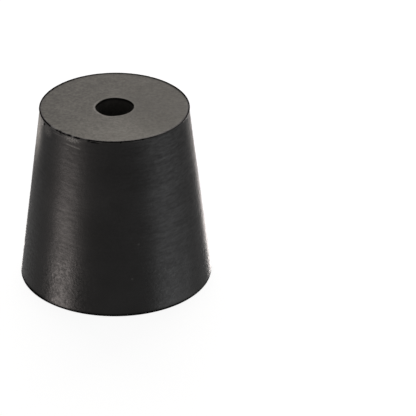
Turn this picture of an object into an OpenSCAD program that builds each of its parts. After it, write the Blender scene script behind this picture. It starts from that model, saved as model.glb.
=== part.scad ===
// Rubber stopper with one hole: a moulded plug that tapers from its large end
// to its small end, with a straight hole down its middle for a glass tube.
// It stands on its large end. The origin is the centre of the large end and
// +Z runs up the hole to the small end. All lengths are in millimetres.

/* [Body] */
// Diameter across the large end, where its face and the side would meet
large_d = 26; // [24:0.5:60]
// Diameter across the small end, where its face and the side would meet
small_d = 20; // [14:0.5:24]
// Length from the large end to the small end
length = 25; // [18:0.5:40]

/* [Hole] */
// Diameter of the hole, which runs straight from end to end
hole_d = 5; // [3:0.5:8]

/* [Edges] */
// Radius of the moulded edge round the large end
large_edge_r = 0.2; // [0.05:0.05:0.6]
// Radius of the moulded edge round the small end
small_edge_r = 0.2; // [0.05:0.05:0.6]
// Radius of the edge at each mouth of the hole
mouth_edge_r = 0.15; // [0.05:0.05:0.5]

/* [Hidden] */

// Facets of a whole turn, and of an edge's circle, where they are drawn as a mesh
turn_facets = 180;
edge_facets = 48;

// Radii of the two ends and of the hole
large_r = large_d / 2;
small_r = small_d / 2;
hole_r = hole_d / 2;

// Angle between the slanted side and the hole, and length of the side in section
side_lean = atan((large_r - small_r) / length);
side_length = length / cos(side_lean);

// How far each edge's arc starts from the corner that it rounds off. The
// corner is sharper than a right angle at the large end and blunter at the
// small end, by the lean of the side.
large_setback = large_edge_r / tan((90 - side_lean) / 2);
small_setback = small_edge_r / tan((90 + side_lean) / 2);

// Centres of the four edge arcs: radius from the axis, then height
large_edge_centre = [large_r - large_setback, large_edge_r];
small_edge_centre = [small_r - small_setback, length - small_edge_r];
lower_mouth_centre = [hole_r + mouth_edge_r, mouth_edge_r];
upper_mouth_centre = [hole_r + mouth_edge_r, length - mouth_edge_r];

// A point of the side, found by going along it from the large end's corner
function on_side(along) = [large_r - along * sin(side_lean), along * cos(side_lean)];

// One edge's circle. Its arc touches both lines that meet at the corner.
module edge_round(centre, radius) {
    translate(centre) circle(r = radius, $fn = edge_facets);
}

// Half of the stopper's section, on one side of the axis. The polygon cuts
// each corner off from one end of its arc to the other, and the circles fill
// the arcs in.
module half_section() {
    polygon([
        [lower_mouth_centre[0], 0],
        [large_edge_centre[0], 0],
        on_side(large_setback),
        on_side(side_length - small_setback),
        [small_edge_centre[0], length],
        [upper_mouth_centre[0], length],
        [hole_r, upper_mouth_centre[1]],
        [hole_r, lower_mouth_centre[1]],
    ]);
    edge_round(large_edge_centre, large_edge_r);
    edge_round(small_edge_centre, small_edge_r);
    edge_round(lower_mouth_centre, mouth_edge_r);
    edge_round(upper_mouth_centre, mouth_edge_r);
}

// The whole stopper: its half section turned about the hole's axis
module stopper() {
    color("#3a3836") rotate_extrude($fn = turn_facets) half_section();
}

stopper();
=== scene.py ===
import math

import bpy
import numpy as np
from bpy.props import FloatProperty, FloatVectorProperty, IntProperty, PointerProperty
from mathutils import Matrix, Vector


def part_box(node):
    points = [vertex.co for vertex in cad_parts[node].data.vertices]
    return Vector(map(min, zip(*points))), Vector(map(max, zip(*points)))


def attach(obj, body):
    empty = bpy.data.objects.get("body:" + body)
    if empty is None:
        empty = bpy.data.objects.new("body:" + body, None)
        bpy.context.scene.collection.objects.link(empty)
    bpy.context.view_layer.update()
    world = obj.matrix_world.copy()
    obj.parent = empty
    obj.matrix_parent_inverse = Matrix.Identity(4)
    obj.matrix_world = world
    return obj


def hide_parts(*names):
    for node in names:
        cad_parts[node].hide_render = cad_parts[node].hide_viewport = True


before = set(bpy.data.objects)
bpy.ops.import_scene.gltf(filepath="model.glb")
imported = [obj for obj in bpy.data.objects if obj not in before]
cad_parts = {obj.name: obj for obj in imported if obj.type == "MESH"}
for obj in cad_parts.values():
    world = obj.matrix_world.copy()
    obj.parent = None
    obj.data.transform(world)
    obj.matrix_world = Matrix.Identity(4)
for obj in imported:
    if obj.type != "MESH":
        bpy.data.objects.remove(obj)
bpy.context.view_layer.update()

bl_info = {
    "name": "Rubber Stopper",
    "version": (1, 0, 0),
    "blender": (4, 5, 0),
    "location": "View3D > Sidebar > Stopper",
    "description": "Adds a one-hole rubber stopper, moulded in black rubber, and a stage to show it on",
    "category": "Add Mesh",
}

MM = 0.001
CAD_NODE = "stopper"
PIECE_NAME = "stopper_moulding"
LEVEL_GAP = 0.001 * MM


# ---------------- sizes taken from the frame

def cad_points(node):
    """All vertices of a CAD node as rows of x, y, z."""
    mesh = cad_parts[node].data
    points = np.empty(len(mesh.vertices) * 3, np.float32)
    mesh.vertices.foreach_get("co", points)
    return points.reshape(-1, 3).astype(float)


def flat_radii(points, height):
    """Least and greatest distance from the axis of the points that lie at one height."""
    level = points[np.abs(points[:, 2] - height) < LEVEL_GAP]
    radii = np.hypot(level[:, 0], level[:, 1])
    return float(radii.min()), float(radii.max())


CAD_POINTS = cad_points(CAD_NODE)
CAD_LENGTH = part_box(CAD_NODE)[1].z
CAD_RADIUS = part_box(CAD_NODE)[1].x
CAD_HOLE_RADIUS = float(np.hypot(CAD_POINTS[:, 0], CAD_POINTS[:, 1]).min())
CAD_MOUTH, CAD_LARGE_FLAT = flat_radii(CAD_POINTS, 0.0)
CAD_SMALL_FLAT = flat_radii(CAD_POINTS, CAD_LENGTH)[1]


# ---------------- settings

def length_setting(name, description, default):
    """A length in metres that the sidebar shows with its unit."""
    return FloatProperty(
        name=name, description=description, default=default, min=0.0, precision=5, unit="LENGTH"
    )


def share_setting(name, description, default):
    """A share from 0 to 1."""
    return FloatProperty(
        name=name, description=description, default=default, min=0.0, max=1.0, subtype="FACTOR"
    )


def angle_setting(name, description, degrees):
    """An angle, given here in degrees."""
    return FloatProperty(
        name=name, description=description, default=math.radians(degrees), subtype="ANGLE"
    )


def number_setting(name, description, default):
    """A number from 0 upwards that has no unit."""
    return FloatProperty(name=name, description=description, default=default, min=0.0)


def linear(hex_colour):
    """Linear red, green and blue of an sRGB hex colour such as #53504d."""
    channels = np.array([int(hex_colour[i:i + 2], 16) for i in (1, 3, 5)]) / 255.0
    toe = channels / 12.92
    curve = ((channels + 0.055) / 1.055) ** 2.4
    return tuple(float(c) for c in np.where(channels <= 0.04045, toe, curve))


def colour_setting(name, description, hex_colour):
    """A colour, given here as an sRGB hex value and kept linear."""
    return FloatVectorProperty(
        name=name, description=description, default=linear(hex_colour), min=0.0, max=1.0, subtype="COLOR"
    )


class StopperSizes(bpy.types.PropertyGroup):
    """Sizes of the moulding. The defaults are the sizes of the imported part."""

    length: length_setting("Length", "From the large end to the small end", CAD_LENGTH)
    widest_radius: length_setting("Widest radius", "At the round edge of the large end", CAD_RADIUS)
    large_flat_radius: length_setting("Large flat", "Radius where its edge starts", CAD_LARGE_FLAT)
    small_flat_radius: length_setting("Small flat", "Radius where its edge starts", CAD_SMALL_FLAT)
    hole_radius: length_setting("Hole radius", "Of the hole through the middle", CAD_HOLE_RADIUS)
    mouth_radius: length_setting("Mouth radius", "Where the hole's edge meets an end", CAD_MOUTH)
    columns: IntProperty(
        name="Columns", description="Mesh columns round the stopper", default=384, min=48
    )
    seed: IntProperty(
        name="Seed", description="Start of every random pattern of the surface", default=4
    )


class StopperWear(bpy.types.PropertyGroup):
    """Marks of moulding and of use, pressed or worn into the surface."""

    side_swell: length_setting("Side swell", "How far the side is out of true", 0.02 * MM)
    rim_lip: length_setting("Rim lip", "How far the trimmed small rim stands out", 0.13 * MM)
    mouth_warp: length_setting("Mouth warp", "How far the upper mouth is out of round", 0.18 * MM)
    edge_raggedness: length_setting("Edge raggedness", "Depth of the small rim's chips", 0.05 * MM)
    scuff_depth: length_setting("Scuff depth", "Depth of the rubbed patches", 0.03 * MM)
    scratch_depth: length_setting("Scratch depth", "Depth of the scratches", 0.05 * MM)
    numeral_depth: length_setting("Numeral depth", "How deep the numeral is sunk", 0.25 * MM)


class StopperFinish(bpy.types.PropertyGroup):
    """Colours and gloss of the moulded black rubber."""

    side_colour: colour_setting("Side", "Polished skin of the side and the hole", "#1d1b1a")
    end_colour: colour_setting("Ends", "Matte, greyed skin of the two end faces", "#6d6b64")
    bloom_colour: colour_setting("Bloom", "Where the end faces are greyed most", "#8d8a82")
    # Also the colour of the painted highlight along the small rim and the painted sheen on the side's edges.
    wear_and_sheen_colour: colour_setting("Worn", "Rubber dust, where the skin has been rubbed", "#cbc8c3")
    # Painted shade in nicks, chips, numeral, hole mouths, one side of the ends and the floor contact; also
    # the flash line.
    flash_and_painted_shade_colour: colour_setting("Sunk", "Fresh rubber inside nicks and the numeral", "#0d0c0c")
    side_roughness: share_setting("Side roughness", "Roughness of the side's skin", 0.40)
    end_roughness: share_setting("End roughness", "Roughness of the end faces", 0.72)


class StageSettings(bpy.types.PropertyGroup):
    """Floor, lamps and camera."""

    floor_size: length_setting("Floor size", "Side of the square floor", 3.0)
    floor_colour: colour_setting("Floor", "How much of the lamps' light it gives back", "#9e9e9e")
    floor_glow: share_setting("Floor glow", "White that the camera sees without the lamps", 0.88)
    panel_light: number_setting("Panels", "Brightness of all the lamp panels together", 1.0)
    world_light: share_setting("Surroundings", "Brightness of the room round the stage", 0.264)
    lens: number_setting("Lens", "Focal length in millimetres, on a sensor 36 mm wide", 383.0)
    camera_distance: length_setting("Camera distance", "From the aim point", 0.600)
    camera_elevation: angle_setting("Camera elevation", "Angle above the horizon", 28.87)


# ---------------- outline of the moulding

# Rows of the mesh lie at most this far apart along the outline, closest where wear or the numeral lies.
FINE_GAP = 0.07 * MM
NUMERAL_GAP = 0.086 * MM
COARSE_GAP = 0.45 * MM
BORE_GAP = 1.0 * MM
EDGE_ROWS = 8

# Stretches with close rows: down the side and in over the small end from the small rim, up the side from
# the large rim, and down the hole and out over the small end from the upper mouth.
WORN_DOWN = 2.5 * MM
WORN_IN = 0.5 * MM
BASE_LINE_REACH = 0.55 * MM
DARK_MOUTH = 0.6 * MM
PALE_MOUTH = 0.42 * MM

# The numeral lies between these radii of the large end.
NUMERAL_INNER = 4.9 * MM
NUMERAL_OUTER = 9.1 * MM

# Directions of an outward normal, as angles from the level one that points away from the axis.
DOWN = -math.pi / 2
UP = math.pi / 2
INWARD = math.pi


def marks(*stops):
    """Distances along a straight stretch. The arguments are places and gaps in turn: from each place to the
    next, the distances are evenly spread and at most the gap apart. The last place is left out."""
    runs = []
    for start, gap, end in zip(stops[:-2:2], stops[1:-1:2], stops[2::2]):
        count = max(1, math.ceil((end - start) / gap))
        runs.append(start + (end - start) * np.arange(count) / count)
    return np.concatenate(runs)


class Outline:
    """The closed outline of half the stopper's section, as rows of radius, height and the angle of the
    outward normal: four round edges and four straight stretches between them, from the lower mouth on."""

    def __init__(self, sizes):
        self.length = sizes.length
        edge = sizes.widest_radius - sizes.large_flat_radius
        mouth = sizes.mouth_radius - sizes.hole_radius
        rise = self.length - 2 * edge
        lean = math.atan((sizes.large_flat_radius - sizes.small_flat_radius) / rise)
        side = rise / math.cos(lean)
        wall = self.length - 2 * mouth
        large_flat = sizes.large_flat_radius - sizes.mouth_radius
        small_flat = sizes.small_flat_radius - sizes.mouth_radius

        # Centres of the four round edges
        large_edge = (sizes.large_flat_radius, edge)
        small_edge = (sizes.small_flat_radius, self.length - edge)
        upper_mouth = (sizes.mouth_radius, self.length - mouth)
        lower_mouth = (sizes.mouth_radius, mouth)

        large_end_marks = marks(
            0.0, COARSE_GAP, NUMERAL_INNER - sizes.mouth_radius,
            NUMERAL_GAP, NUMERAL_OUTER - sizes.mouth_radius,
            COARSE_GAP, large_flat - WORN_IN,
            FINE_GAP, large_flat,
        )
        side_marks = marks(0.0, FINE_GAP, BASE_LINE_REACH, COARSE_GAP, side - WORN_DOWN, FINE_GAP, side)
        small_end_marks = marks(
            0.0, FINE_GAP, WORN_IN, COARSE_GAP, small_flat - PALE_MOUTH, FINE_GAP, small_flat,
        )
        hole_marks = marks(0.0, FINE_GAP, DARK_MOUTH, BORE_GAP, wall)

        self.rows = []
        self.straight(lower_mouth, mouth, DOWN, large_end_marks)
        self.bend(large_edge, edge, DOWN, lean)
        self.straight(large_edge, edge, lean, side_marks)
        self.bend(small_edge, edge, lean, UP)
        self.straight(small_edge, edge, UP, small_end_marks)
        self.bend(upper_mouth, mouth, UP, INWARD)
        self.straight(upper_mouth, mouth, INWARD, hole_marks)
        self.bend(lower_mouth, mouth, INWARD, INWARD + UP)
        self.radius, self.height, self.normal = np.concatenate(self.rows).T

        step = np.hypot(np.diff(self.radius), np.diff(self.height))
        self.along = np.concatenate([[0.0], np.cumsum(step)])
        self.large_rim = self.along_at((lean + DOWN) / 2)
        self.small_rim = self.along_at((lean + UP) / 2)
        self.upper_mouth = self.along_at((UP + INWARD) / 2)

    def straight(self, centre, radius, angle, along):
        """A straight stretch: start + along * (-sin angle, cos angle), where start is on the edge before it
        and angle is the direction of its normal."""
        start = (centre[0] + radius * math.cos(angle), centre[1] + radius * math.sin(angle))
        across = start[0] - along * math.sin(angle)
        up = start[1] + along * math.cos(angle)
        self.rows.append(np.stack([across, up, np.full(along.shape, angle)], axis=1))

    def bend(self, centre, radius, start, end):
        """A round edge: centre + radius * (cos a, sin a), with a going from start to end. The last row is
        left out, because the next stretch starts with it."""
        angle = start + (end - start) * np.arange(EDGE_ROWS) / EDGE_ROWS
        across = centre[0] + radius * np.cos(angle)
        up = centre[1] + radius * np.sin(angle)
        self.rows.append(np.stack([across, up, angle], axis=1))

    def along_at(self, normal):
        """Distance along the outline to the round edge's row whose normal comes closest to an angle."""
        return self.along[np.argmin(np.abs(self.normal - normal))]


# ---------------- relief of the surface
# Bearings are in degrees, counter-clockwise from +X seen from above. So are spreads, and half widths where
# they have no MM.

# The mesh columns crowd together round this bearing, where the worn stretch of rim and the numeral lie.
CROWDED_BEARING = 237.0
CROWDING = 0.7

# The polished skin of the side laps this far over the flat of each end.
SKIN_LAP = 0.15 * MM

# The skin is greyed where it squarely faces up, down or into the hole. These are the cosines of the angle
# from there at which the grey starts and is full.
GREYED_COSINES = (0.6, 1.0)

# How greyed the wall of the hole is, against the end faces.
BORE_BLOOM = 0.25

# The bloom on the ends is palest towards one bearing, and gains strength between these radii.
BLOOM_BEARING = 276.0
BLOOM_SPREAD = 42.0
BLOOM_RADII = (2.0 * MM, 8.0 * MM)
BLOOM_NEAR_HOLE = 0.3
BLOOM_GAIN = 0.45

# Towards another bearing the ends are painted a little darker with shade, between these radii.
END_SHADE_BEARING = 170.0
END_SHADE_SPREAD = 50.0
END_SHADE_RADII = (3.0 * MM, 9.0 * MM)
END_SHADE_DARKENING = 0.08

# The side is streaked least round this bearing. A quarter turn counter-clockwise from it the surface is
# streaked most and grained least, and a quarter turn clockwise the other way round. The streaks strengthen
# from the large end up.
CALM_BEARING = 268.0
CALM_SPREAD = 22.0
CALM_LOSS = 0.7
STREAKED_SWING = 0.6
STREAKED_BASE = 0.5
STREAKED_RISE = 0.8
GRAINED = 0.75
GRAINED_SWING = 0.25

# Random patterns: size from crest to crest, and what is added to the seed. Each is a sum of this many waves.
SWELL = (9.0 * MM, 1)
RAGGED = (0.9 * MM, 2)
SCUFFED = (0.33 * MM, 3)
DUST_SHEEN_PATCHES = (0.6 * MM, 4)
UNEVEN = (0.9 * MM, 5)
WAVES = 24

# The side's swell fades out over these distances at the large and the small rim.
SWELL_FADES = (2.0 * MM, 1.0 * MM)

# A fine dark line runs along both rims. On the small rim it is the trimmed flash line and painted shade
# along the edge; it lies just inside the edge, is a little uneven, and towards one bearing is wider and
# further in. On the large rim it is a painted shadow where the stopper meets the floor, wider towards
# another. It widens between the last two cosines of each, of the turn from that bearing.
RIM_LINE_PLACE = 0.09 * MM
RIM_LINE_HALF_WIDTH = 0.11 * MM
RIM_LINE_UNEVENNESS = 0.1
RIM_LINE_WIDE = 90.0
RIM_LINE_WIDER = 1.8
RIM_LINE_FURTHER = 0.08 * MM
RIM_LINE_COSINES = (0.0, 0.7)
BASE_LINE_PLACE = 0.065 * MM
BASE_LINE_HALF_WIDTH = 0.22 * MM
BASE_LINE_WIDE = 205.0
BASE_LINE_WIDER = 0.8
BASE_LINE_COSINES = (0.92, 1.0)

# The small rim's line is left out at these bearings: bearing, half width, share that is gone, and how pale
# the rim is made there.
RIM_LINE_GAPS = (
    (217.5, 4.5, 0.85, 0.12),
    (230.4, 1.8, 0.45, 0.03),
    (237.6, 0.9, 0.90, 0.32),
    (247.6, 2.8, 0.70, 0.07),
    (318.0, 27.0, 0.75, 0.00),
)
RIM_GAP_HALF_HEIGHT = 0.22 * MM

# The small rim stands out as a thin lip, with these reaches: down the side, and in over the end.
LIP_DOWN = 0.20 * MM
LIP_IN = 1.2 * MM

# Just inside the small rim the end is painted paler, a highlight along the edge, where it has bloom.
RIM_RING_PLACE = 0.42 * MM
RIM_RING_HALF_WIDTH = 0.14 * MM
RIM_RING_PALENESS = 0.055

# The ragged stretch of the small rim: half width, half height, depth beyond it against its own, the levels
# of the swell between which chips start, and how dark they are painted, as shade in the chips.
RAGGED_SPREAD = 32.0
RAGGED_HALF_HEIGHT = 0.16 * MM
RAGGED_BEYOND = 0.15
CHIP_LEVELS = (0.0, 0.9)
CHIP_DARKNESS = 0.8

# Nicks in the small rim: bearing, place inwards from the rim over the end, half width, half height, depth.
NICKS = (
    (203.2, -0.52 * MM, 0.22 * MM, 0.18 * MM, 0.05 * MM),
    (212.5, 0.02 * MM, 0.18 * MM, 0.14 * MM, 0.08 * MM),
    (221.6, 0.02 * MM, 0.20 * MM, 0.12 * MM, 0.08 * MM),
    (225.3, 0.02 * MM, 0.25 * MM, 0.22 * MM, 0.20 * MM),
    (229.8, 0.03 * MM, 0.20 * MM, 0.08 * MM, 0.05 * MM),
    (234.2, 0.02 * MM, 0.26 * MM, 0.16 * MM, 0.16 * MM),
    (241.8, 0.03 * MM, 0.34 * MM, 0.12 * MM, 0.10 * MM),
    (251.4, -0.05 * MM, 0.20 * MM, 0.17 * MM, 0.14 * MM),
    (256.0, -0.24 * MM, 0.72 * MM, 0.08 * MM, 0.05 * MM),
    (275.8, -0.05 * MM, 0.12 * MM, 0.16 * MM, 0.06 * MM),
    (293.0, 0.00 * MM, 0.10 * MM, 0.12 * MM, 0.05 * MM),
)

# Shares of a nick's depth between which it is painted dark, as shade in the dent.
NICK_DARK = (0.2, 0.7)

# Scratches under the small rim: bearing and distance down the side at each end, half width and strength.
SCRATCHES = (
    (230.8, 1.34 * MM, 246.0, 1.56 * MM, 0.09 * MM, 0.40),
    (231.0, 2.12 * MM, 234.8, 2.06 * MM, 0.08 * MM, 0.18),
    (215.5, 0.60 * MM, 230.5, 0.55 * MM, 0.06 * MM, 0.18),
    (256.5, 0.12 * MM, 262.0, 0.12 * MM, 0.05 * MM, 0.16),
    (284.0, 0.16 * MM, 304.0, 0.14 * MM, 0.06 * MM, 0.09),
)
SCRATCH_UNEVENNESS = 0.25
SCRATCH_TAPER = 0.15

# Rubbed patches under the small rim: bearing, distance down the side, half width, half height, strength.
SCUFFS = (
    (236.8, 0.50 * MM, 1.15 * MM, 0.40 * MM, 0.54),
    # This one, near the left edge, is a pale rub and painted sheen, the reflection along that edge.
    (198.5, 0.70 * MM, 0.45 * MM, 0.60 * MM, 1.00),
    (209.0, 0.95 * MM, 1.00 * MM, 0.80 * MM, 0.20),
)

# How pale a patch is in its hollows, against its bumps, and the levels between which the bumps start.
SCUFF_HOLLOWS = 0.25
SCUFF_LEVELS = (0.25, 0.75)

# Patches of the side that are pale dust and painted sheen, a reflection along its edges: bearing, distance
# down the side, half width, half height, strength.
DUST_AND_EDGE_SHEEN = (
    (190.5, 1.90 * MM, 1.35 * MM, 3.70 * MM, 1.15),
    (351.0, 2.20 * MM, 1.60 * MM, 4.50 * MM, 0.15),
)
DUST_SHEEN_FADE = 0.2 * MM
DUST_SHEEN_MEAN = 0.8
DUST_SHEEN_UNEVENNESS = 0.25

# The size numeral on the large end, pressed in, with painted shade inside its strokes. Each stroke is a bar
# between two points, given as distances outwards and counter-clockwise from the numeral's centre, and a
# width.
NUMERAL_BEARING = 237.0
NUMERAL_RADIUS = 7.3 * MM
NUMERAL_WALL = 0.1 * MM
STROKES = (
    ((-0.79 * MM, -2.26 * MM), (-0.79 * MM, 1.89 * MM), 0.75 * MM),
    ((-2.35 * MM, 0.40 * MM), (1.76 * MM, 0.40 * MM), 0.28 * MM),
    ((-0.79 * MM, -2.26 * MM), (1.76 * MM, 0.40 * MM), 0.35 * MM),
)

# The upper mouth of the hole is out of round: bearing, half width, and share of the warp, outwards. The
# warp fades out with the distance from the mouth, over the end and down the hole.
MOUTH_BULGES = (
    (250.0, 25.0, 1.0),
    (151.0, 27.0, -0.8),
    (15.0, 30.0, 0.2),
)
MOUTH_BULGE_REACH = 0.6 * MM

# The ends are paler in a ring round the mouths, most of all towards one bearing, and inside the mouths is a
# dark ring of painted shade. The last value is how far their edges are blurred.
MOUTH_RING_BEARING = 200.0
MOUTH_RING_PLACE = 0.10 * MM
MOUTH_RING_HALF_WIDTH = 0.14 * MM
MOUTH_RING_PALENESS = 0.08
MOUTH_RING_PALER = 0.26
MOUTH_RING_COSINES = (0.0, 1.0)
MOUTH_BLUR = 0.1 * MM

# The layers of the skin that the material reads from the mesh.
LAYERS = ("matte", "bloom", "rubbed_and_painted_sheen", "sunk_and_painted_shade", "streaked", "grained")


def ramp(value, low, high):
    """0 up to low and 1 from high on, with a smooth turn between: 3 t^2 - 2 t^3."""
    t = np.clip((value - low) / (high - low), 0.0, 1.0)
    return t * t * (3.0 - 2.0 * t)


def bell(distance, half_width):
    """1 in the middle, fading out to both sides: exp(-(distance / half width)^2)."""
    return np.exp(-(distance / half_width) ** 2)


def turn_between(bearing, angle):
    """How far the angle, in radians, is from a bearing in degrees: from -pi to pi."""
    return (angle - math.radians(bearing) + math.pi) % (2 * math.pi) - math.pi


def swell(angle, along, radius, crest, seed):
    """A random swell of about -1 to 1 over the angle and the distance along the outline. It is a sum of
    cos(turns * angle + pace * along + phase) over many waves whose crests are about crest apart. The turns
    are whole numbers, so it closes on itself round the stopper."""
    random = np.random.default_rng(seed)
    heading = random.uniform(0.0, math.pi, WAVES)
    spread = crest * random.uniform(0.7, 1.5, WAVES)
    phase = random.uniform(0.0, 2 * math.pi, WAVES)
    turns = np.round(2 * math.pi * radius * np.cos(heading) / spread)
    pace = 2 * math.pi * np.sin(heading) / spread
    total = sum(np.cos(t * angle + p * along + h) for t, p, h in zip(turns, pace, phase))
    return total * math.sqrt(2.0 / WAVES) / 2.0


class Skin:
    """The stopper's surface as a grid, with one row for each row of the outline and one column for each
    angle. It holds how deep each point is pressed in, how far it is flared out from the axis, and the
    layers: matte is the greyed skin of the ends, bloom how pale that is, the pale layer is wear, dust and
    painted highlights and sheen, the dark layer is the small rim's flash line and painted shade, and
    streaked and grained say how strong the streaks and the grain are."""

    def __init__(self, outline, sizes, wear):
        self.outline = outline
        self.sizes = sizes
        self.shape = (outline.radius.size, sizes.columns)
        turn = np.linspace(0.0, 2 * math.pi, sizes.columns, endpoint=False)
        crowded = turn - CROWDING * np.sin(turn - math.radians(CROWDED_BEARING))
        self.angle = np.broadcast_to(crowded, self.shape)
        self.radius = self.widened(outline.radius)
        self.height = self.widened(outline.height)
        self.normal = self.widened(outline.normal)
        self.along = self.widened(outline.along)
        self.from_rim = self.along - outline.small_rim
        self.from_mouth = self.along - outline.upper_mouth

        self.depth = np.zeros(self.shape)
        self.flare = wear.rim_lip * self.lip() + wear.mouth_warp * self.mouth_bulge()
        self.matte = self.greyed_skin()
        self.bloom = self.end_bloom()
        self.rubbed_and_painted_sheen = np.zeros(self.shape)
        self.sunk_and_painted_shade = np.zeros(self.shape)
        self.streaked = self.side_streaks()
        self.grained = GRAINED - GRAINED_SWING * np.sin(turn_between(CALM_BEARING, self.angle))

        self.add_side_swell(wear.side_swell)
        self.add_rim_lines()
        self.add_rim_ring()
        self.add_painted_end_shade()
        self.add_ragged_edge(wear.edge_raggedness)
        self.add_scuffs(wear.scuff_depth)
        self.add_dust_and_edge_sheen()
        self.add_scratches(wear.scratch_depth)
        self.add_nicks()
        self.add_numeral(wear.numeral_depth)
        self.add_mouth_rings()

    def widened(self, rows):
        """One value for each row of the outline, repeated over all columns."""
        return np.broadcast_to(rows[:, None], self.shape)

    def pattern(self, crest, seed):
        """The random swell over the whole surface."""
        radius = self.sizes.small_flat_radius
        return swell(self.angle, self.along, radius, crest, self.sizes.seed + seed)

    def fan(self, bearing, half_width):
        """A bell round a bearing, with its half width in degrees."""
        return bell(turn_between(bearing, self.angle), math.radians(half_width))

    def towards(self, bearing, cosines):
        """A ramp of the cosine of the turn from a bearing, so 1 is towards it."""
        return ramp(np.cos(turn_between(bearing, self.angle)), *cosines)

    def across(self, bearing):
        """Distance round the surface from a bearing."""
        return self.radius * turn_between(bearing, self.angle)

    def reach(self, bearing, place, half_width, half_height):
        """Squared distance from a spot, as (across / half width)^2 + (up / half height)^2. The spot is at a
        bearing and at a place along the outline, measured inwards from the small rim."""
        up = self.from_rim - place
        return (self.across(bearing) / half_width) ** 2 + (up / half_height) ** 2

    def lighten(self, paleness):
        """Makes the surface at least this pale: with dust and wear, and with painted highlights and sheen.
        """
        self.rubbed_and_painted_sheen = np.maximum(self.rubbed_and_painted_sheen, paleness)

    def darken(self, darkness):
        """Makes the surface at least this dark: painted shade, and the small rim's flash line."""
        self.sunk_and_painted_shade = np.maximum(self.sunk_and_painted_shade, darkness)

    def lip(self):
        """How far the lip stands out, from 0 to 1: a bell of the distance from the small rim, with one half
        width down the side and another in over the end."""
        return bell(self.from_rim, np.where(self.from_rim < 0.0, LIP_DOWN, LIP_IN))

    def mouth_bulge(self):
        """How far the upper mouth is out of round, outwards, as a share of the warp: the sum of its bulges'
        share * fan, times a bell of the distance from the mouth."""
        bulge = sum(share * self.fan(bearing, half_width) for bearing, half_width, share in MOUTH_BULGES)
        return bulge * bell(self.from_mouth, MOUTH_BULGE_REACH)

    def greyed_skin(self):
        """The flats of both ends, inside the side's skin, and fainter the wall of the hole."""
        on_small_end = self.height > self.outline.length / 2
        flat = np.where(on_small_end, self.sizes.small_flat_radius, self.sizes.large_flat_radius)
        inwards = ramp(flat - self.radius, 0.5 * SKIN_LAP, 1.5 * SKIN_LAP)
        on_end = inwards * ramp(np.abs(np.sin(self.normal)), *GREYED_COSINES)
        in_hole = BORE_BLOOM * ramp(-np.cos(self.normal), *GREYED_COSINES)
        return np.maximum(on_end, in_hole)

    def end_bloom(self):
        """How pale the bloom is: a fan that strengthens from the hole to the rim."""
        strength = BLOOM_NEAR_HOLE + BLOOM_GAIN * ramp(self.radius, *BLOOM_RADII)
        return self.fan(BLOOM_BEARING, BLOOM_SPREAD) * strength

    def side_streaks(self):
        """How strong the streaks are: (1 + swing * sin turn) * (1 - loss * fan) * (base + rise * height),
        with the turn from the calm bearing and the height from 0 to 1."""
        swing = 1.0 + STREAKED_SWING * np.sin(turn_between(CALM_BEARING, self.angle))
        calm = 1.0 - CALM_LOSS * self.fan(CALM_BEARING, CALM_SPREAD)
        return swing * calm * (STREAKED_BASE + STREAKED_RISE * self.height / self.outline.length)

    def rim_line_left(self):
        """The share of the small rim's line that is left: the product of 1 - gone * fan over its gaps."""
        left = np.ones(self.shape)
        for bearing, half_width, gone, _ in RIM_LINE_GAPS:
            left = left * (1.0 - gone * self.fan(bearing, half_width))
        return left

    def add_side_swell(self, depth):
        """The side is slightly out of true, by a slow swell that fades out at both rims."""
        large_fade, small_fade = SWELL_FADES
        on_side = ramp(self.along, self.outline.large_rim, self.outline.large_rim + large_fade)
        on_side = on_side * ramp(-self.from_rim, 0.0, small_fade)
        self.depth += depth * on_side * (0.5 + 0.5 * self.pattern(*SWELL))

    def add_rim_lines(self):
        """The dark lines along both rims, bells of the distance from the middle of each: the flash line with
        painted shade on the small rim, and a painted contact shadow on the large rim.
        """
        wide = self.towards(RIM_LINE_WIDE, RIM_LINE_COSINES)
        from_line = self.from_rim - (RIM_LINE_PLACE + RIM_LINE_FURTHER * wide)
        line = bell(from_line, RIM_LINE_HALF_WIDTH * (1.0 + RIM_LINE_WIDER * wide))
        uneven = 1.0 - RIM_LINE_UNEVENNESS + RIM_LINE_UNEVENNESS * self.pattern(*UNEVEN)
        self.darken(np.minimum(line * uneven * self.rim_line_left(), 1.0))
        wide = 1.0 + BASE_LINE_WIDER * self.towards(BASE_LINE_WIDE, BASE_LINE_COSINES)
        from_line = (self.along - self.outline.large_rim) / wide - BASE_LINE_PLACE
        self.darken(bell(from_line, BASE_LINE_HALF_WIDTH))

    def add_rim_ring(self):
        """The painted highlight, a pale ring inside the small rim, and the pale rim where its line is left
        out.
        """
        self.lighten(RIM_RING_PALENESS * bell(self.from_rim - RIM_RING_PLACE, RIM_RING_HALF_WIDTH) * self.bloom)
        on_rim = bell(self.from_rim, RIM_GAP_HALF_HEIGHT)
        for bearing, half_width, _, paleness in RIM_LINE_GAPS:
            self.lighten(paleness * self.fan(bearing, half_width) * on_rim)

    def add_painted_end_shade(self):
        """Painted shade: the ends are darker towards one bearing, in a fan that strengthens from the hole to
        the rim.
        """
        end_shade = self.fan(END_SHADE_BEARING, END_SHADE_SPREAD) * ramp(self.radius, *END_SHADE_RADII)
        self.darken(END_SHADE_DARKENING * end_shade * self.matte)

    def add_ragged_edge(self, depth):
        """Shallow chips in the small rim where the swell is high, deepest on its ragged stretch, and painted
        dark there with shade.
        """
        stretch = self.fan(CROWDED_BEARING, RAGGED_SPREAD)
        on_rim = bell(self.from_rim, RAGGED_HALF_HEIGHT)
        chips = ramp(self.pattern(*RAGGED), *CHIP_LEVELS)
        self.depth += depth * (RAGGED_BEYOND + stretch) * on_rim * chips
        self.darken(CHIP_DARKNESS * stretch * on_rim * chips * self.rim_line_left())

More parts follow.
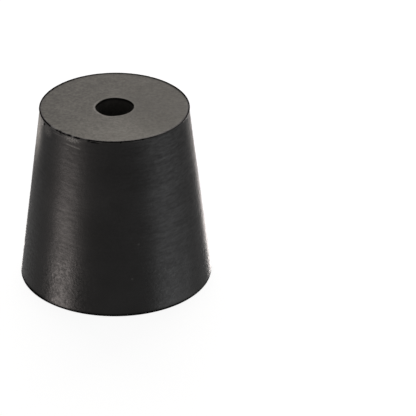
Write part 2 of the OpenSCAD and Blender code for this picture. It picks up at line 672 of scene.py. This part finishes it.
    def add_nicks(self):
        """Each nick is a dent of depth * exp(-reach), painted dark with shade where it is deep."""
        for bearing, place, half_width, half_height, depth in NICKS:
            dent = np.exp(-self.reach(bearing, place, half_width, half_height))
            self.depth += depth * dent
            self.darken(ramp(dent, *NICK_DARK))

    def add_scuffs(self, depth):
        """Each rubbed patch is an oval, strength * exp(-reach^2), with fine bumps inside it."""
        bumps = 0.5 + 0.5 * self.pattern(*SCUFFED)
        paleness = SCUFF_HOLLOWS + (1.0 - SCUFF_HOLLOWS) * ramp(bumps, *SCUFF_LEVELS)
        for bearing, down, half_width, half_height, strength in SCUFFS:
            oval = strength * np.exp(-self.reach(bearing, -down, half_width, half_height) ** 2)
            self.depth += depth * oval * bumps
            self.lighten(oval * paleness)

    def add_dust_and_edge_sheen(self):
        """Each patch of dust and painted sheen fades out to all sides as strength * exp(-reach), and is
        patchy itself.
        """
        on_side = ramp(-self.from_rim, 0.0, DUST_SHEEN_FADE)
        patchy = on_side * (DUST_SHEEN_MEAN + DUST_SHEEN_UNEVENNESS * self.pattern(*DUST_SHEEN_PATCHES))
        for bearing, down, half_width, half_height, strength in DUST_AND_EDGE_SHEEN:
            patch = strength * np.exp(-self.reach(bearing, -down, half_width, half_height))
            self.lighten(np.clip(patch * patchy, 0.0, 1.0))

    def add_scratches(self, depth):
        """Each scratch is a groove along a line over the side: depth times a bell of the distance from it,
        tapering at both ends."""
        uneven = 1.0 - SCRATCH_UNEVENNESS + SCRATCH_UNEVENNESS * self.pattern(*SCUFFED)
        for start, start_down, end, end_down, half_width, strength in SCRATCHES:
            length = self.sizes.small_flat_radius * math.radians(end - start)
            share = self.across(start) / length
            down = start_down + (end_down - start_down) * share
            taper = ramp(share, 0.0, SCRATCH_TAPER) * ramp(1.0 - share, 0.0, SCRATCH_TAPER)
            groove = strength * bell(self.from_rim + down, half_width) * taper * uneven
            self.depth += depth * groove
            self.lighten(groove)

    def add_numeral(self, depth):
        """The numeral is pressed in by depth where a point lies inside a bar of it, with a short sloping
        wall, and there it is painted dark, as shade in the strokes.
        """
        turn = turn_between(NUMERAL_BEARING, self.angle)
        out = self.radius * np.cos(turn) - NUMERAL_RADIUS
        round_way = self.radius * np.sin(turn)
        outside = np.full(self.shape, np.inf)
        for start, end, width in STROKES:
            length = math.dist(start, end)
            run = ((end[0] - start[0]) / length, (end[1] - start[1]) / length)
            lengthways = (out - start[0]) * run[0] + (round_way - start[1]) * run[1]
            sideways = (round_way - start[1]) * run[0] - (out - start[0]) * run[1]
            beyond_ends = np.abs(lengthways - length / 2) - length / 2
            beyond_sides = np.abs(sideways) - width / 2
            outside = np.minimum(outside, np.maximum(beyond_ends, beyond_sides))
        on_large_end = self.normal <= DOWN
        cut = ramp(-outside, -NUMERAL_WALL / 2, NUMERAL_WALL / 2) * on_large_end
        self.depth += depth * cut
        self.darken(cut)

    def add_mouth_rings(self):
        """The pale ring on the ends round each mouth of the hole, and the painted shade of the dark ring
        just inside it.
        """
        outwards = self.radius - self.sizes.mouth_radius
        on_end = ramp(outwards, -MOUTH_BLUR / 2, MOUTH_BLUR / 2) * self.matte
        towards = self.towards(MOUTH_RING_BEARING, MOUTH_RING_COSINES)
        paleness = MOUTH_RING_PALENESS + MOUTH_RING_PALER * towards
        self.lighten(paleness * on_end * bell(outwards - MOUTH_RING_PLACE, MOUTH_RING_HALF_WIDTH))
        inside = ramp(-outwards, 0.0, MOUTH_BLUR)
        below = np.minimum(self.height, self.outline.length - self.height)
        self.darken(inside * bell(below, DARK_MOUTH / 2))

    def points(self):
        """x = r cos(angle), y = r sin(angle) and z, after each point of the outline has moved back against
        its normal by the depth there, and straight outwards by the flare."""
        radius = self.radius + self.flare - self.depth * np.cos(self.normal)
        height = self.height - self.depth * np.sin(self.normal)
        return np.stack([radius * np.cos(self.angle), radius * np.sin(self.angle), height], axis=-1)


def ring_mesh(name, points, layers):
    """A closed mesh from a grid of points that meets itself both ways, so each point (row, column) is
    joined to its next column and its next row by one four-sided face that points outwards."""
    rows, columns = points.shape[:2]
    here = np.arange(rows * columns).reshape(rows, columns)
    beside = np.roll(here, -1, axis=1)
    above = np.roll(here, -1, axis=0)
    faces = np.stack([here, beside, np.roll(beside, -1, axis=0), above], axis=-1).reshape(-1, 4)
    mesh = bpy.data.meshes.new(name)
    mesh.from_pydata(points.reshape(-1, 3), [], faces)
    for layer, values in layers.items():
        attribute = mesh.attributes.new(layer, "FLOAT", "POINT")
        attribute.data.foreach_set("value", values.astype(np.float32).ravel())
    mesh.shade_smooth()
    mesh.update()
    return mesh


# ---------------- materials

# Sockets by number: a Map Range takes a value, the range it comes from and the range it goes to. A Mix takes
# its factor at 0 and two numbers at 2 and 3, or two colours at 6 and 7, and gives its colour at 2.


def add_node(tree, kind, inputs=(), **settings):
    """Adds one node to a node tree, with its settings. The inputs are a dict by socket, or a list from the
    first socket on. Each is a value, a socket to link, or a node whose first output is linked."""
    made = tree.nodes.new(kind)
    for name, value in settings.items():
        setattr(made, name, value)
    by_socket = inputs if isinstance(inputs, dict) else dict(enumerate(inputs))
    for socket, value in by_socket.items():
        if isinstance(value, bpy.types.Node):
            value = value.outputs[0]
        if isinstance(value, bpy.types.NodeSocket):
            tree.links.new(value, made.inputs[socket])
        else:
            made.inputs[socket].default_value = value
    return made


def new_material(name):
    """An empty node material and its node tree."""
    material = bpy.data.materials.new(name)
    material.use_nodes = True
    material.node_tree.nodes.clear()
    return material, material.node_tree


def opaque(colour):
    """A colour with full alpha, as a colour socket wants it."""
    return (*colour, 1.0)


def slanted(tilt, bearing):
    """The turn of a pattern that slants up at a tilt where it crosses a bearing, both in degrees."""
    return (0.0, -math.radians(tilt), math.radians(bearing + 90.0))


# The surface's own patterns are noise: size of its cells along three axes, turn of the axes, and detail. The
# turning marks and streaks run round the side, so they are long across and short upwards, and two sets of
# scratches slant over it. The real turning marks, streaks, scratches and grain are finer, and are drawn as
# coarse as they need to be to show.
UPRIGHT = (0.0, 0.0, 0.0)
PATTERNS = {
    "turning": ((6.0 * MM, 6.0 * MM, 0.45 * MM), UPRIGHT, 3.0),
    "streaks": ((0.90 * MM, 0.90 * MM, 0.30 * MM), UPRIGHT, 2.0),
    "scratches one way": ((2.2 * MM, 0.22 * MM, 0.22 * MM), slanted(-40.0, 234.0), 1.0),
    "scratches other way": ((2.2 * MM, 0.22 * MM, 0.22 * MM), slanted(40.0, 308.0), 1.0),
    "grain": ((0.36 * MM, 0.36 * MM, 0.36 * MM), UPRIGHT, 2.0),
    "peel": ((1.3 * MM, 1.3 * MM, 1.3 * MM), UPRIGHT, 1.0),
    "patches": ((4.0 * MM, 4.0 * MM, 4.0 * MM), UPRIGHT, 2.0),
    "mottle": ((2.6 * MM, 2.6 * MM, 2.6 * MM), UPRIGHT, 4.0),
}

# How high the relief stands.
TURNING_HEIGHT = 0.020 * MM
GRAIN_HEIGHT = 0.014 * MM
PEEL_HEIGHT = 0.015 * MM

# Nearly all of the noise lies between these values.
NOISE_SPAN = (0.3, 0.7)

# The side is grainier below this height and smoother above that one.
GRAINY_BELOW = 5.0 * MM
SMOOTH_ABOVE = 11.0 * MM

# Specks of pale dust on the side: bearing and height.
SPECKS = ((281.2, 5.35 * MM), (286.2, 10.2 * MM))
SPECK_RADIUS = 0.11 * MM
SPECK_PALENESS = 0.08

# How much the colour varies: factors of the mottling, and the most that the speckle adds or takes away.
CLOUDS = (0.93, 1.07)
SPECKLE = 0.31

# What the polish adds to the side's roughness, at the large end and at the small end.
POLISH = (-0.09, 0.06)

# The lines that scour the polish: share of turning marks among the streaks, noise levels between which a
# scratch starts, how strong it gets, and share of grain among the lines at the small and the large end.
TURNING_SHARE = 0.4
SCRATCH_LEVELS = (0.55, 0.70)
SCRATCH_STRENGTH = 0.16
GRAIN_SHARES = (0.1, 0.6)

# How much the scouring changes the roughness either way, and how much stronger it gets near the large end.
SCOUR = 0.07
SCOUR_GAINS = (1.0, 3.2)

# Reflection: how much the lines change it either way, its values in slow patches, and the level of the dark
# layer at which the skin no longer reflects, so that the painted shade takes the sheen away too.
STREAKINESS = 0.24
SHEEN = (0.44, 0.56)
SHEEN_LOSS_IN_SHADE = 0.6

# The turning marks come and go between these levels of the patches, and keep this share of their height.
TURNED_LEVELS = (0.40, 0.60)
TURNED_LEAST = 0.3


def surface_fields(tree):
    """Sockets that say what the surface is like at each point: its place and height, how low it is on the
    side, the layers of the skin, and the patterns."""
    place = add_node(tree, "ShaderNodeTexCoord").outputs["Object"]
    height = add_node(tree, "ShaderNodeSeparateXYZ", [place]).outputs["Z"]
    low = add_node(tree, "ShaderNodeMapRange", [height, SMOOTH_ABOVE, GRAINY_BELOW])
    fields = {"place": place, "height": height, "low": low}
    for layer in LAYERS:
        fields[layer] = add_node(tree, "ShaderNodeAttribute", attribute_name=layer).outputs["Fac"]
    for name, (cell, turn, detail) in PATTERNS.items():
        fitted = {"Vector": place, "Rotation": turn, "Scale": cell}
        lattice = add_node(tree, "ShaderNodeMapping", fitted, vector_type="TEXTURE")
        noise = {"Vector": lattice, "Scale": 1.0, "Detail": detail}
        fields[name] = add_node(tree, "ShaderNodeTexNoise", noise)
    return fields


def with_specks(tree, rubbed_and_painted_sheen, place):
    """The pale layer, of wear and painted highlights and sheen, with the dust specks on it: each is palest
    in its middle and fades out evenly.
    """
    for bearing, height in SPECKS:
        radius = CAD_RADIUS - (CAD_LARGE_FLAT - CAD_SMALL_FLAT) * height / CAD_LENGTH
        turn = math.radians(bearing)
        spot = (radius * math.cos(turn), radius * math.sin(turn), height)
        away = add_node(tree, "ShaderNodeVectorMath", [place, spot], operation="DISTANCE").outputs["Value"]
        speck = add_node(tree, "ShaderNodeMapRange", [away, 0.0, 2 * SPECK_RADIUS, SPECK_PALENESS, 0.0])
        rubbed_and_painted_sheen = add_node(tree, "ShaderNodeMath", [rubbed_and_painted_sheen, speck], operation="MAXIMUM").outputs[0]
    return rubbed_and_painted_sheen


def rubber_colour(tree, fields, finish):
    """The side's skin and the ends' greyed skin, mottled and speckled, under the pale layer of wear, dust
    and painted highlights and sheen, and the dark layer of flash line and painted shade.
    """
    greyed = {0: fields["bloom"], 6: opaque(finish.end_colour), 7: opaque(finish.bloom_colour)}
    greyed = add_node(tree, "ShaderNodeMix", greyed, data_type="RGBA").outputs[2]
    skin = {0: fields["matte"], 6: opaque(finish.side_colour), 7: greyed}
    skin = add_node(tree, "ShaderNodeMix", skin, data_type="RGBA").outputs[2]
    cloud = add_node(tree, "ShaderNodeMapRange", [fields["mottle"], *NOISE_SPAN, *CLOUDS])
    speckle = add_node(tree, "ShaderNodeMapRange", [fields["grain"], *NOISE_SPAN, -SPECKLE, SPECKLE])
    speckle = add_node(tree, "ShaderNodeMath", [speckle, fields["grained"], 1.0], operation="MULTIPLY_ADD")
    shade = add_node(tree, "ShaderNodeMath", [cloud, speckle], operation="MULTIPLY")
    mottled = add_node(tree, "ShaderNodeVectorMath", {0: skin, "Scale": shade}, operation="SCALE")
    wear_and_sheen_mixed = {0: fields["rubbed_and_painted_sheen"], 6: mottled, 7: opaque(finish.wear_and_sheen_colour)}
    wear_and_sheen_mixed = add_node(tree, "ShaderNodeMix", wear_and_sheen_mixed, data_type="RGBA").outputs[2]
    sunk_and_painted_shade = {0: fields["sunk_and_painted_shade"], 6: wear_and_sheen_mixed, 7: opaque(finish.flash_and_painted_shade_colour)}
    return add_node(tree, "ShaderNodeMix", sunk_and_painted_shade, data_type="RGBA").outputs[2]


def rubber_gloss(tree, fields, finish):
    """Roughness, and how much the skin reflects. The side is duller towards the small end, and dull on the
    ends and wherever the pale layer lies: wear, dust and the painted highlights and sheen. The streaks, and
    the grain near the large end, scour the polish. They also reflect less, as dust settles in them. The
    dark layer of painted shade and flash line reflects less, down to nothing."""
    low = fields["low"]
    bounds = [finish.side_roughness + change for change in POLISH]
    polish = add_node(tree, "ShaderNodeMapRange", [fields["height"], 0.0, CAD_LENGTH, *bounds])
    lines = add_node(tree, "ShaderNodeMix", {0: TURNING_SHARE, 2: fields["streaks"], 3: fields["turning"]})
    for scratches in (fields["scratches one way"], fields["scratches other way"]):
        sparse = add_node(tree, "ShaderNodeMapRange", [scratches, *SCRATCH_LEVELS, 0.0, SCRATCH_STRENGTH])
        lines = add_node(tree, "ShaderNodeMath", [sparse, low, lines], operation="MULTIPLY_ADD")
    grain_share = add_node(tree, "ShaderNodeMapRange", [low, 0.0, 1.0, *GRAIN_SHARES])
    texture = add_node(tree, "ShaderNodeMix", {0: grain_share, 2: lines, 3: fields["grain"]})
    scoured = add_node(tree, "ShaderNodeMapRange", [texture, *NOISE_SPAN, SCOUR, -SCOUR])
    gain = add_node(tree, "ShaderNodeMapRange", [low, 0.0, 1.0, *SCOUR_GAINS])
    gain = add_node(tree, "ShaderNodeMath", [gain, fields["grained"]], operation="MULTIPLY")
    polish = add_node(tree, "ShaderNodeMath", [scoured, gain, polish], operation="MULTIPLY_ADD")
    dull = add_node(tree, "ShaderNodeMath", [fields["matte"], fields["rubbed_and_painted_sheen"]], operation="MAXIMUM")
    roughness = add_node(tree, "ShaderNodeMix", {0: dull, 2: polish, 3: finish.end_roughness})

    streaky = add_node(tree, "ShaderNodeMapRange", [lines, *NOISE_SPAN, -STREAKINESS, STREAKINESS])
    streaky = add_node(tree, "ShaderNodeMath", [streaky, fields["streaked"], 1.0], operation="MULTIPLY_ADD")
    patchy = add_node(tree, "ShaderNodeMapRange", [fields["patches"], *NOISE_SPAN, *SHEEN])
    sheen_left = add_node(tree, "ShaderNodeMapRange", [fields["sunk_and_painted_shade"], 0.0, SHEEN_LOSS_IN_SHADE, 1.0, 0.0])
    sheen = add_node(tree, "ShaderNodeMath", [streaky, patchy], operation="MULTIPLY")
    sheen = add_node(tree, "ShaderNodeMath", [sheen, sheen_left], operation="MULTIPLY")
    return roughness, sheen


def rubber_relief(tree, fields):
    """Relief in millimetres: turning marks that come and go, grain that is higher low down, and peel."""
    higher = [GRAIN_HEIGHT / MM, 2 * GRAIN_HEIGHT / MM]
    grainy = add_node(tree, "ShaderNodeMapRange", [fields["low"], 0.0, 1.0, *higher])
    grainy = add_node(tree, "ShaderNodeMath", [grainy, fields["grained"]], operation="MULTIPLY")
    relief = add_node(tree, "ShaderNodeMath", [fields["grain"], grainy], operation="MULTIPLY")
    higher = [TURNED_LEAST * TURNING_HEIGHT / MM, TURNING_HEIGHT / MM]
    turned = add_node(tree, "ShaderNodeMapRange", [fields["patches"], *TURNED_LEVELS, *higher])
    relief = add_node(tree, "ShaderNodeMath", [fields["turning"], turned, relief], operation="MULTIPLY_ADD")
    peel = [fields["peel"], PEEL_HEIGHT / MM, relief]
    relief = add_node(tree, "ShaderNodeMath", peel, operation="MULTIPLY_ADD")
    return add_node(tree, "ShaderNodeBump", {"Height": relief, "Distance": MM, "Strength": 1.0})


def moulded_black_rubber(finish):
    """Natural rubber filled with carbon black, moulded in a turned mould. The side has the mould's polish:
    near black, with a dull gloss that the mould's turning marks and a fine grain break up. The end faces
    are matte and greyed by talc and bloom, and the rim shows paler with wear. A painted highlight and
    painted sheen lie along the small rim and the side's edges, and painted shade darkens the nicks, chips,
    numeral, mouths of the hole, one side of the ends and the contact with the floor."""
    material, tree = new_material("moulded black rubber")
    fields = surface_fields(tree)
    fields["rubbed_and_painted_sheen"] = with_specks(tree, fields["rubbed_and_painted_sheen"], fields["place"])
    roughness, sheen = rubber_gloss(tree, fields, finish)
    rubber = add_node(tree, "ShaderNodeBsdfPrincipled", {
        "Base Color": rubber_colour(tree, fields, finish),
        "Roughness": roughness,
        "IOR": 1.5,
        "Specular IOR Level": sheen,
        "Normal": rubber_relief(tree, fields),
    })
    add_node(tree, "ShaderNodeOutputMaterial", {"Surface": rubber})
    return material


def seamless_paper(settings):
    """Uncoated white background paper. It keeps the soft shadow under the stopper, and a glow that only the
    camera sees lifts it to the white of the background."""
    material, tree = new_material("seamless background paper")
    lit = add_node(tree, "ShaderNodeBsdfDiffuse", {"Color": opaque(settings.floor_colour)})
    glow = add_node(tree, "ShaderNodeEmission", {"Strength": settings.floor_glow})
    shown = add_node(tree, "ShaderNodeAddShader", [lit, glow])
    add_node(tree, "ShaderNodeOutputMaterial", {"Surface": shown})
    return material


# ---------------- stage

# The camera looks at this point.
AIM_POINT = Vector((12.524, 0.0, 9.513)) * MM

# Lamp panels round the stopper: bearing, distance, width, heights of the lower and upper edge, brightness,
# colour. The floor lets their light through, so they light the stopper from below as well.
PANELS = {
    "back panel": (90.0, 0.50, 0.73, -0.20, 0.49, 2.30, "#fff7f3"),
    "low back panel": (84.0, 0.50, 0.36, -0.50, -0.22, 3.80, "#fff7f3"),
    "left panel": (204.4, 0.16, 0.073, -0.132, -0.0155, 3.10, "#fff3ee"),
    "right panel": (345.0, 0.30, 0.29, -0.23, 0.12, 0.38, "#fafcff"),
    "right inner panel": (335.0, 0.30, 0.16, -0.23, 0.12, 0.39, "#fafcff"),
}


def direction(bearing, elevation):
    """Unit vector at a bearing, counter-clockwise from +X seen from above, and an elevation, in degrees."""
    turn = math.radians(bearing)
    rise = math.radians(elevation)
    return Vector((math.cos(turn) * math.cos(rise), math.sin(turn) * math.cos(rise), math.sin(rise)))


def add_object(name, data):
    """Links a new object with this data to the scene."""
    made = bpy.data.objects.new(name, data)
    bpy.context.scene.collection.objects.link(made)
    return made


def add_panel(name, bearing, distance, width, bottom, top, brightness, colour):
    """An upright soft panel that faces the stopper's axis, unseen by the camera. Its power is pi *
    brightness * area, so that the panel looks that bright from anywhere in front of it."""
    data = bpy.data.lights.new(name, "AREA")
    data.shape = "RECTANGLE"
    data.size = width
    data.size_y = top - bottom
    data.energy = math.pi * brightness * width * (top - bottom)
    data.color = linear(colour)
    toward = direction(bearing, 0.0)
    panel = add_object(name, data)
    panel.location = toward * distance + Vector((0.0, 0.0, (bottom + top) / 2))
    panel.rotation_euler = toward.to_track_quat("Z", "Y").to_euler()
    panel.visible_camera = False


def add_floor(settings):
    """The floor is one square sheet at the height that the stopper stands on. Only the camera sees it."""
    half = settings.floor_size / 2
    mesh = bpy.data.meshes.new("floor")
    corners = [(-half, -half, 0), (half, -half, 0), (half, half, 0), (-half, half, 0)]
    mesh.from_pydata(corners, [], [(0, 1, 2, 3)])
    mesh.materials.append(seamless_paper(settings))
    floor = add_object("floor", mesh)
    floor.visible_diffuse = False
    floor.visible_glossy = False
    floor.visible_shadow = False


def add_world(settings):
    """An even room round the stage, which the camera sees as white."""
    world = bpy.data.worlds.new("studio")
    world.use_nodes = True
    tree = world.node_tree
    tree.nodes.clear()
    from_camera = add_node(tree, "ShaderNodeLightPath").outputs["Is Camera Ray"]
    strength = add_node(tree, "ShaderNodeMix", {0: from_camera, 2: settings.world_light, 3: 1.0})
    room = add_node(tree, "ShaderNodeBackground", [(1.0, 1.0, 1.0, 1.0), strength])
    add_node(tree, "ShaderNodeOutputWorld", {"Surface": room})
    bpy.context.scene.world = world


def add_camera(settings):
    """A long lens that looks down at the stopper from the front."""
    data = bpy.data.cameras.new("camera")
    data.lens = settings.lens
    camera = add_object("camera", data)
    back = direction(270.0, math.degrees(settings.camera_elevation))
    camera.location = AIM_POINT + back * settings.camera_distance
    camera.rotation_euler = back.to_track_quat("Z", "Y").to_euler()
    bpy.context.scene.camera = camera


# ---------------- operators, panel and registration

class STOPPER_OT_add_moulding(bpy.types.Operator):
    """Adds the stopper: one closed moulding with its hole, its numeral and its wear"""

    bl_idname = "stopper.add_moulding"
    bl_label = "Add Stopper"
    bl_options = {"REGISTER", "UNDO"}

    def execute(self, context):
        scene = context.scene
        skin = Skin(Outline(scene.stopper_sizes), scene.stopper_sizes, scene.stopper_wear)
        layers = {layer: getattr(skin, layer) for layer in LAYERS}
        mesh = ring_mesh(PIECE_NAME, skin.points(), layers)
        mesh.materials.append(moulded_black_rubber(scene.stopper_finish))
        piece = add_object(PIECE_NAME, mesh)
        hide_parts(CAD_NODE)
        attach(piece, "root")
        return {"FINISHED"}


class STOPPER_OT_add_stage(bpy.types.Operator):
    """Adds the pale floor, the room, the soft lamps and the camera"""

    bl_idname = "stopper.add_stage"
    bl_label = "Add Stage"
    bl_options = {"REGISTER", "UNDO"}

    def execute(self, context):
        settings = context.scene.stopper_stage
        add_floor(settings)
        add_world(settings)
        for name, (*place, brightness, colour) in PANELS.items():
            add_panel(name, *place, brightness * settings.panel_light, colour)
        add_camera(settings)
        context.scene.view_settings.view_transform = "Standard"
        return {"FINISHED"}


class STOPPER_PT_sidebar(bpy.types.Panel):
    """Lists the stopper's operators and settings"""

    bl_idname = "STOPPER_PT_sidebar"
    bl_label = "Rubber Stopper"
    bl_space_type = "VIEW_3D"
    bl_region_type = "UI"
    bl_category = "Stopper"

    def draw(self, context):
        layout = self.layout
        for group_name in SETTING_GROUPS:
            group = getattr(context.scene, group_name)
            box = layout.box()
            for setting in group.bl_rna.properties:
                if setting.identifier not in ("rna_type", "name"):
                    box.prop(group, setting.identifier)
        for operator in OPERATORS:
            layout.operator(operator.bl_idname)


SETTING_GROUPS = {
    "stopper_sizes": StopperSizes,
    "stopper_wear": StopperWear,
    "stopper_finish": StopperFinish,
    "stopper_stage": StageSettings,
}
OPERATORS = (STOPPER_OT_add_moulding, STOPPER_OT_add_stage)


def register():
    """Registers the classes and gives the scene its settings."""
    for kind in (*SETTING_GROUPS.values(), *OPERATORS, STOPPER_PT_sidebar):
        bpy.utils.register_class(kind)
    for name, group in SETTING_GROUPS.items():
        setattr(bpy.types.Scene, name, PointerProperty(type=group))


def unregister():
    """Takes the settings and the classes away again."""
    for name in SETTING_GROUPS:
        delattr(bpy.types.Scene, name)
    for kind in (STOPPER_PT_sidebar, *OPERATORS, *SETTING_GROUPS.values()):
        bpy.utils.unregister_class(kind)


def main():
    """Builds the stopper and its stage."""
    register()
    bpy.ops.stopper.add_moulding()
    bpy.ops.stopper.add_stage()


if __name__ == "__main__":
    main()
